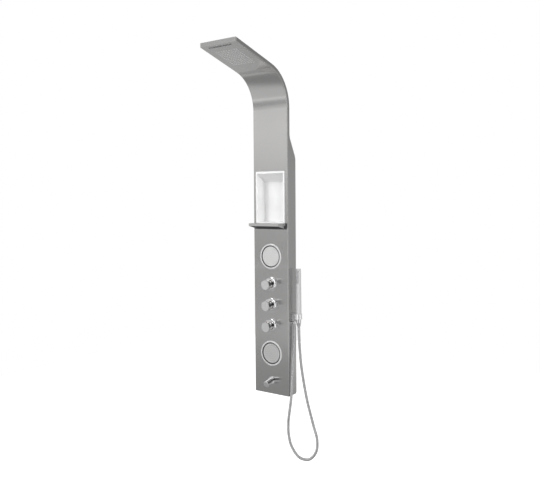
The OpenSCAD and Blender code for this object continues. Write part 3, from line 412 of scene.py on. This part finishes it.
# The line of points becomes a tube whose radius falls and rises once for each rib
def hoseTree(sizes):
    tree, entry, leave = newTree("hoseTree", sizes)
    link = tree.links.new
    curve = addNode(tree, "GeometryNodeMeshToCurve")
    run = addNode(tree, "GeometryNodeSplineParameter").outputs["Length"]
    turn = mathNode(tree, "DIVIDE", run, entry.outputs["Rib Pitch"])
    wave = mathNode(tree, "COSINE", mathNode(tree, "MULTIPLY", turn, 2 * math.pi))
    share = mathNode(tree, "MULTIPLY_ADD", wave, 0.5, 0.5)  # from 0 on a rib to 1 in a groove
    depth = mathNode(tree, "MULTIPLY", share, entry.outputs["Groove"])
    radius = mathNode(tree, "SUBTRACT", entry.outputs["Radius"], depth)
    along = addNode(
        tree, "GeometryNodeStoreNamedAttribute", {"Name": "along"},
        {"data_type": "FLOAT", "domain": "POINT"},
    )
    profile = addNode(tree, "GeometryNodeCurvePrimitiveCircle", {"Radius": 1.0})
    tube = addNode(tree, "GeometryNodeCurveToMesh", {"Fill Caps": True})
    smooth = addNode(tree, "GeometryNodeSetShadeSmooth")
    link(entry.outputs["Geometry"], curve.inputs["Mesh"])
    link(curve.outputs["Curve"], along.inputs["Geometry"])
    link(run, along.inputs["Value"])
    link(along.outputs["Geometry"], tube.inputs["Curve"])
    link(entry.outputs["Sides"], profile.inputs["Resolution"])
    link(profile.outputs["Curve"], tube.inputs["Profile Curve"])
    link(radius, tube.inputs["Scale"])
    link(tube.outputs["Mesh"], smooth.inputs["Geometry"])
    endTree(tree, leave, smooth.outputs["Geometry"], "hose_steel")
    return tree


def makeHose():
    line, length = routeLine(hose["ribPitch"] / hose["ringsPerRib"])
    base = bpy.data.meshes.new("hoseLine")
    base.from_pydata([tuple(p) for p in line], [(i, i + 1) for i in range(len(line) - 1)], [])
    sizes = {
        "Radius": hose["radius"], "Groove": hose["groove"],
        "Rib Pitch": hose["ribPitch"], "Sides": hose["sides"],
    }
    made = runTree(hoseTree(sizes), base, sizes, "ribbedHose")
    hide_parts("hose")
    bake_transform(made)
    # Share of each ring between two places along the hose, by its distance along it, eased
    along = np.zeros(len(made.data.vertices), np.float32)
    made.data.attributes["along"].data.foreach_get("value", along)
    first, last = hose["followFrom"], hose["followTo"]
    share = np.clip((along / length - first) / (last - first), 0, 1)
    share = share * share * (3 - 2 * share)
    print("hose length", round(float(length), 4), "faces", len(made.data.polygons))


makeHose()
print("hose made")

# Nozzles: a rim with a bore on each point of a pattern, in metres and degrees. The rain nozzles
# stand in a grid on the underside of the head, and the others on plates that face the room.
nozzles = {
    "boreShare": 0.55,  # width of the bore over that of the rim's tip
    "boreDepth": 0.8,  # depth of the bore over the rim's height
    "sunk": 0.0001,  # how far a foot is let into its plate
    "rain": {
        "foot": 0.0031, "tip": 0.0031, "height": 0.0015, "sides": 16, "turn": 165,
        "finish": "nozzle_chrome", "columns": 9, "rows": 10, "pitch": 0.014,
        # The grid's middle, by its distance from a start along the underside
        "start": (0.0, -0.194001, 0.436208), "way": (0.0, -0.965926, 0.258819), "middle": 0.13903,
    },
    "jet": {
        "foot": 0.0024, "tip": 0.0018, "height": 0.0009, "sides": 10, "turn": 90,
        "finish": "nozzle_white",
        # Share of the plate's radius, and count
        "rings": [(0.24, 8), (0.45, 14), (0.65, 20), (0.86, 26)],
    },
    "spray": {
        "foot": 0.0013, "tip": 0.0011, "height": 0.0005, "sides": 10, "turn": 90,
        "finish": "silicone", "columns": 3, "gap": 0.0035, "rows": 9, "pitch": 0.006,
    },
}
jetPlates = {"upper": "upper_jet_plate", "lower": "lower_jet_plate"}


def nozzleTree(sizes, finish):
    tree, entry, leave = newTree("nozzleTree", sizes)
    link = tree.links.new
    cone = addNode(tree, "GeometryNodeMeshCone")
    rim = addNode(tree, "GeometryNodeExtrudeMesh", {"Offset Scale": 0.0})
    narrow = addNode(tree, "GeometryNodeScaleElements")
    bore = addNode(tree, "GeometryNodeExtrudeMesh")
    depth = mathNode(tree, "MULTIPLY", entry.outputs["Height"], -nozzles["boreDepth"])
    link(entry.outputs["Sides"], cone.inputs["Vertices"])
    link(entry.outputs["Foot Radius"], cone.inputs["Radius Bottom"])
    link(entry.outputs["Tip Radius"], cone.inputs["Radius Top"])
    link(entry.outputs["Height"], cone.inputs["Depth"])
    link(cone.outputs["Mesh"], rim.inputs["Mesh"])
    link(cone.outputs["Top"], rim.inputs["Selection"])
    link(rim.outputs["Mesh"], narrow.inputs["Geometry"])
    link(rim.outputs["Top"], narrow.inputs["Selection"])
    link(entry.outputs["Bore Share"], narrow.inputs["Scale"])
    link(narrow.outputs["Geometry"], bore.inputs["Mesh"])
    link(rim.outputs["Top"], bore.inputs["Selection"])
    link(depth, bore.inputs["Offset Scale"])
    endTree(tree, leave, setOnPoints(tree, entry, bore.outputs["Mesh"]), finish)
    return tree


def setNozzles(name, points, kind, body):
    base = bpy.data.meshes.new(name + "Points")
    base.from_pydata([tuple(p) for p in points], [], [])
    sizes = {
        "Foot Radius": kind["foot"], "Tip Radius": kind["tip"], "Height": kind["height"],
        "Bore Share": nozzles["boreShare"], "Sides": kind["sides"],
        "Turn": math.radians(kind["turn"]),
    }
    made = runTree(nozzleTree(sizes, kind["finish"]), base, sizes, name)
    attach(made, body)


# Even offsets to both sides of a middle
def offsets(count, pitch):
    return [(i - (count - 1) / 2) * pitch for i in range(count)]


def makeNozzles():
    kind = nozzles["rain"]
    start, way = Vector(kind["start"]), Vector(kind["way"])
    points = [
        start + way * (kind["middle"] + along) + Vector((aside, 0, 0))
        for aside in offsets(kind["columns"], kind["pitch"])
        for along in offsets(kind["rows"], kind["pitch"])
    ]
    setNozzles("rainNozzleCollars", points, kind, "panel")
    kind = nozzles["jet"]
    for side, node in jetPlates.items():
        low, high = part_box(node)
        radius, middle = (high.x - low.x) / 2, (low + high) / 2
        points = [
            (
                middle.x + share * radius * math.cos(angle), low.y + nozzles["sunk"],
                middle.z + share * radius * math.sin(angle),
            )
            for share, count in kind["rings"]
            for angle in np.arange(count) * 2 * math.pi / count
        ]
        setNozzles(side + "JetNozzles", points, kind, "panel")
    kind = nozzles["spray"]
    low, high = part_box("spray_face")
    middle = (low + high) / 2
    points = [
        (middle.x + aside, low.y + nozzles["sunk"], middle.z + along)
        for aside in offsets(kind["columns"], kind["gap"])
        for along in offsets(kind["rows"], kind["pitch"])
    ]
    setNozzles("sprayFaceNozzles", points, kind, "hand_shower")


makeNozzles()
print("nozzles made")

# Rubber seal between each spray plate and its ring
seal = {
    "gap": 0.0021,  # from the plate's edge out to the seal's middle line
    "radius": 0.0019,  # of its round section
    "back": 0.0003,  # how far it lies behind the plate's face
    "steps": 72,
    "sides": 10,
    "turn": 90,
}


def sealTree(sizes):
    tree, entry, leave = newTree("sealTree", sizes)
    link = tree.links.new
    ring = addNode(tree, "GeometryNodeCurvePrimitiveCircle")
    profile = addNode(tree, "GeometryNodeCurvePrimitiveCircle")
    tube = addNode(tree, "GeometryNodeCurveToMesh")
    smooth = addNode(tree, "GeometryNodeSetShadeSmooth")
    link(entry.outputs["Steps"], ring.inputs["Resolution"])
    link(entry.outputs["Ring Radius"], ring.inputs["Radius"])
    link(entry.outputs["Sides"], profile.inputs["Resolution"])
    link(entry.outputs["Section Radius"], profile.inputs["Radius"])
    link(ring.outputs["Curve"], tube.inputs["Curve"])
    link(profile.outputs["Curve"], tube.inputs["Profile Curve"])
    link(tube.outputs["Mesh"], smooth.inputs["Geometry"])
    endTree(tree, leave, setOnPoints(tree, entry, smooth.outputs["Geometry"]), "black_plastic")
    return tree


def makeSeals():
    for side, node in jetPlates.items():
        low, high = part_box(node)
        middle = (low + high) / 2
        base = bpy.data.meshes.new("sealPoint")
        base.from_pydata([(middle.x, low.y + seal["back"], middle.z)], [], [])
        sizes = {
            "Ring Radius": (high.x - low.x) / 2 + seal["gap"], "Section Radius": seal["radius"],
            "Steps": seal["steps"], "Sides": seal["sides"], "Turn": math.radians(seal["turn"]),
        }
        made = runTree(sealTree(sizes), base, sizes, side + "JetSeal")
        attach(made, "panel")


makeSeals()
print("seals made")

# Studio: pale floor, soft lamps, and a world that shows white behind the object. What the metal
# mirrors is set apart: the world by height, with soft cards in it, the floor by distance, with a
# light strip on it, and a sloping board.
studio = {
    "floorHeight": -1.95,
    "floorSize": 8.6,
    "floorColor": (0.6, 0.6, 0.6),
    "floorRoughness": 0.9,
    "floorWhite": 0.88,
    "skyLight": 0.45,
    "secondBounce": 1.8,  # what floor and board gain where one piece is mirrored in another
    "secondFrom": 1.5,  # glossy bounces above this are the second and later ones
    "heights": [  # sine of the elevation, and level
        (-0.45, 0.95), (-0.3, 1.0), (-0.22, 0.6), (-0.15, 0.46), (-0.05, 0.49),
        (0.03, 0.68), (0.08, 0.9), (0.13, 0.97), (0.19, 0.58), (0.235, 0.71),
        (0.28, 0.42), (0.4, 0.36), (1.0, 0.6),
    ],
    # Floor before and behind the object: distance from the column, and level
    "front": [(1.6, 0.36), (2.2, 0.36), (2.9, 0.39), (5.0, 0.46)],
    "back": [(1.6, 0.36), (2.2, 0.38), (3.0, 0.5), (4.0, 0.72)],
    "turnover": (0.0, 0.8),  # the front goes over to the back between these
    "strip": {"from": 0.78, "to": 1.0, "level": 0.75, "soft": 0.1},  # behind the object
    "board": {
        "azimuth": -136, "near": 0.72, "far": 3.0, "half": 1.4, "height": -0.5, "slope": -0.1,
        "levels": [  # distance from the column, and level
            (0.72, 0.32), (0.83, 0.45), (0.95, 0.62), (1.05, 0.72),
            (1.3, 0.74), (2.5, 0.74), (3.0, 0.68),
        ],
    },
    "cards": [  # middle, half width, soft edge, lowest and highest elevation, in degrees
        {"azimuth": 56, "half": 50, "soft": 20, "low": -40, "high": 40, "level": 0.48},
        {"azimuth": 56, "half": 40, "soft": 15, "low": 14, "high": 50, "level": 0.3},
        {"azimuth": -96, "half": 8, "soft": 8, "low": -35, "high": 30, "level": 1.5},
        {"azimuth": -10, "half": 12, "soft": 10, "low": -35, "high": 30, "level": 1.3},
        {"azimuth": -55, "half": 18, "soft": 8, "low": -30, "high": 30, "level": 0.05},
        {"azimuth": -118, "half": 6, "soft": 5, "low": 32, "high": 44, "level": 4.5},
    ],
    "lamps": [
        {
            "name": "keyLamp", "size": 2.2, "power": 106,
            "place": (-1.6, -3.2, 1.9), "aim": (0, -0.1, -0.3),
        },
        {
            "name": "fillLamp", "size": 2.0, "power": 55,
            "place": (3.0, -1.6, 0.6), "aim": (0, -0.1, -0.4),
        },
    ],
}
white = (1, 1, 1, 1)


# Grey level that follows a source, by stops of its value and their level
def ramp(tree, source, stops):
    low, high = stops[0][0], stops[-1][0]
    share = addNode(tree, "ShaderNodeMapRange", {"From Min": low, "From Max": high})
    made = addNode(tree, "ShaderNodeValToRGB")
    while len(made.color_ramp.elements) < len(stops):
        made.color_ramp.elements.new(0.5)  # its place is set below
    for element, (at, level) in zip(made.color_ramp.elements, stops):
        element.position = (at - low) / (high - low)
        element.color = (level, level, level, 1)
    tree.links.new(source, share.inputs["Value"])
    tree.links.new(share.outputs["Result"], made.inputs["Fac"])
    return made.outputs["Color"]


def softStep(tree, source, start, end):
    made = addNode(
        tree, "ShaderNodeMapRange", {"From Min": start, "From Max": end},
        {"interpolation_type": "SMOOTHSTEP"},
    )
    tree.links.new(source, made.inputs["Value"])
    return made.outputs["Result"]


def cosine(degrees):
    return math.cos(math.radians(degrees))


def sine(degrees):
    return math.sin(math.radians(degrees))


# Lays a card with soft edges over the level that the world has there
def withCard(tree, level, around, height, card):
    half, soft, low, high = card["half"], card["soft"], card["low"], card["high"]
    way = (cosine(card["azimuth"]), sine(card["azimuth"]), 0)
    toward = vectorNode(tree, "DOT_PRODUCT", around, way)
    sides = softStep(tree, toward, cosine(half + soft), cosine(half))
    foot = softStep(tree, height, sine(low - soft), sine(low))
    head = softStep(tree, height, sine(high + soft), sine(high))
    mask = mathNode(tree, "MULTIPLY", mathNode(tree, "MULTIPLY", sides, foot), head)
    return mixNumbers(tree, mask, level, card["level"])


# The floor and board are brighter where one piece is mirrored in another
def mirroredStrength(tree, path, level):
    again = mathNode(tree, "GREATER_THAN", path.outputs["Glossy Depth"], studio["secondFrom"])
    gain = mathNode(tree, "MULTIPLY_ADD", again, studio["secondBounce"] - 1, 1.0)
    return mathNode(tree, "MULTIPLY", level, gain)


def mixShaders(tree, choice, first, second):
    made = addNode(tree, "ShaderNodeMixShader")
    tree.links.new(choice, made.inputs["Fac"])
    tree.links.new(first, made.inputs[1])
    tree.links.new(second, made.inputs[2])
    return made.outputs["Shader"]


def flatPiece(name, corners):
    mesh = bpy.data.meshes.new(name)
    mesh.from_pydata(corners, [], [(0, 1, 2, 3)])
    return addObject(name, mesh)


def makeFloor():
    half, height = studio["floorSize"] / 2, studio["floorHeight"]
    corners = ((-half, -half), (half, -half), (half, half), (-half, half))
    floor = flatPiece("floor", [(x, y, height) for x, y in corners])
    made, tree, shader = newMaterial(
        "floorWhite", studio["floorColor"], roughness=studio["floorRoughness"]
    )
    link = tree.links.new
    path = addNode(tree, "ShaderNodeLightPath")
    glow = addNode(tree, "ShaderNodeEmission", {"Color": white, "Strength": studio["floorWhite"]})
    seen = addNode(tree, "ShaderNodeAddShader")
    mirrored = addNode(tree, "ShaderNodeEmission", {"Color": white})
    link(glow.outputs["Emission"], seen.inputs[0])
    link(shader.outputs["BSDF"], seen.inputs[1])
    place = objectPlace(tree)
    reach = vectorNode(tree, "LENGTH", vectorNode(tree, "MULTIPLY", place, (1, 1, 0)))
    depth = splitVector(tree, place)["Y"]
    strip = studio["strip"]
    mask = mathNode(
        tree, "MULTIPLY", softStep(tree, depth, strip["from"] - strip["soft"], strip["from"]),
        softStep(tree, depth, strip["to"] + strip["soft"], strip["to"]),
    )
    front, back = ramp(tree, reach, studio["front"]), ramp(tree, reach, studio["back"])
    level = mixNumbers(tree, softStep(tree, depth, *studio["turnover"]), front, back)
    level = mixNumbers(tree, mask, level, strip["level"])
    link(mirroredStrength(tree, path, level), mirrored.inputs["Strength"])
    shown = mixShaders(
        tree, path.outputs["Is Camera Ray"], shader.outputs["BSDF"], seen.outputs["Shader"]
    )
    shown = mixShaders(tree, path.outputs["Is Glossy Ray"], shown, mirrored.outputs["Emission"])
    link(shown, tree.nodes["Material Output"].inputs["Surface"])
    dress(floor, made)


# Sloping board that only the metal mirrors, for the lower half of the bend
def makeBoard():
    board = studio["board"]
    near, far, half = board["near"], board["far"], board["half"]
    way = Vector((cosine(board["azimuth"]), sine(board["azimuth"]), 0))
    side = Vector((-way.y, way.x, 0))
    corners = [
        way * reach + side * wide + Vector((0, 0, board["height"] + board["slope"] * reach))
        for reach, wide in ((near, -half), (near, half), (far, half), (far, -half))
    ]
    made = flatPiece("mirroredBoard", [tuple(corner) for corner in corners])
    finish, tree, shader = newMaterial("boardLight", (1, 1, 1))
    tree.nodes.remove(shader)
    path = addNode(tree, "ShaderNodeLightPath")
    glow = addNode(tree, "ShaderNodeEmission", {"Color": white})
    reach = vectorNode(tree, "DOT_PRODUCT", objectPlace(tree), tuple(way))
    level = ramp(tree, reach, board["levels"])
    tree.links.new(mirroredStrength(tree, path, level), glow.inputs["Strength"])
    tree.links.new(glow.outputs["Emission"], tree.nodes["Material Output"].inputs["Surface"])
    dress(made, finish)
    made.visible_camera = made.visible_diffuse = False
    made.visible_shadow = made.visible_transmission = False


def makeWorld():
    world = bpy.data.worlds.new("studio")
    world.use_nodes = True
    bpy.context.scene.world = world
    tree = world.node_tree
    tree.nodes.clear()
    out = addNode(tree, "ShaderNodeOutputWorld")
    path = addNode(tree, "ShaderNodeLightPath")
    soft = addNode(tree, "ShaderNodeBackground", {"Color": white, "Strength": studio["skyLight"]})
    behind = addNode(tree, "ShaderNodeBackground", {"Color": white, "Strength": 1.0})
    mirrored = addNode(tree, "ShaderNodeBackground", {"Color": white})
    way = addNode(tree, "ShaderNodeTexCoord").outputs["Generated"]
    height = splitVector(tree, way)["Z"]
    around = vectorNode(tree, "NORMALIZE", vectorNode(tree, "MULTIPLY", way, (1, 1, 0)))
    level = ramp(tree, height, studio["heights"])
    for card in studio["cards"]:
        level = withCard(tree, level, around, height, card)
    tree.links.new(level, mirrored.inputs["Strength"])
    shown = mixShaders(
        tree, path.outputs["Is Glossy Ray"],
        soft.outputs["Background"], mirrored.outputs["Background"],
    )
    shown = mixShaders(tree, path.outputs["Is Camera Ray"], shown, behind.outputs["Background"])
    tree.links.new(shown, out.inputs["Surface"])


def makeLamps():
    for lamp in studio["lamps"]:
        data = bpy.data.lights.new(lamp["name"], "AREA")
        data.energy, data.size = lamp["power"], lamp["size"]
        made = addObject(lamp["name"], data)
        place = Vector(lamp["place"])
        made.location = place
        made.rotation_euler = (Vector(lamp["aim"]) - place).to_track_quat("-Z", "Y").to_euler()
        made.visible_glossy = False


makeFloor()
makeBoard()
makeWorld()
makeLamps()
bpy.context.scene.view_settings.view_transform = "Standard"
print("studio made")
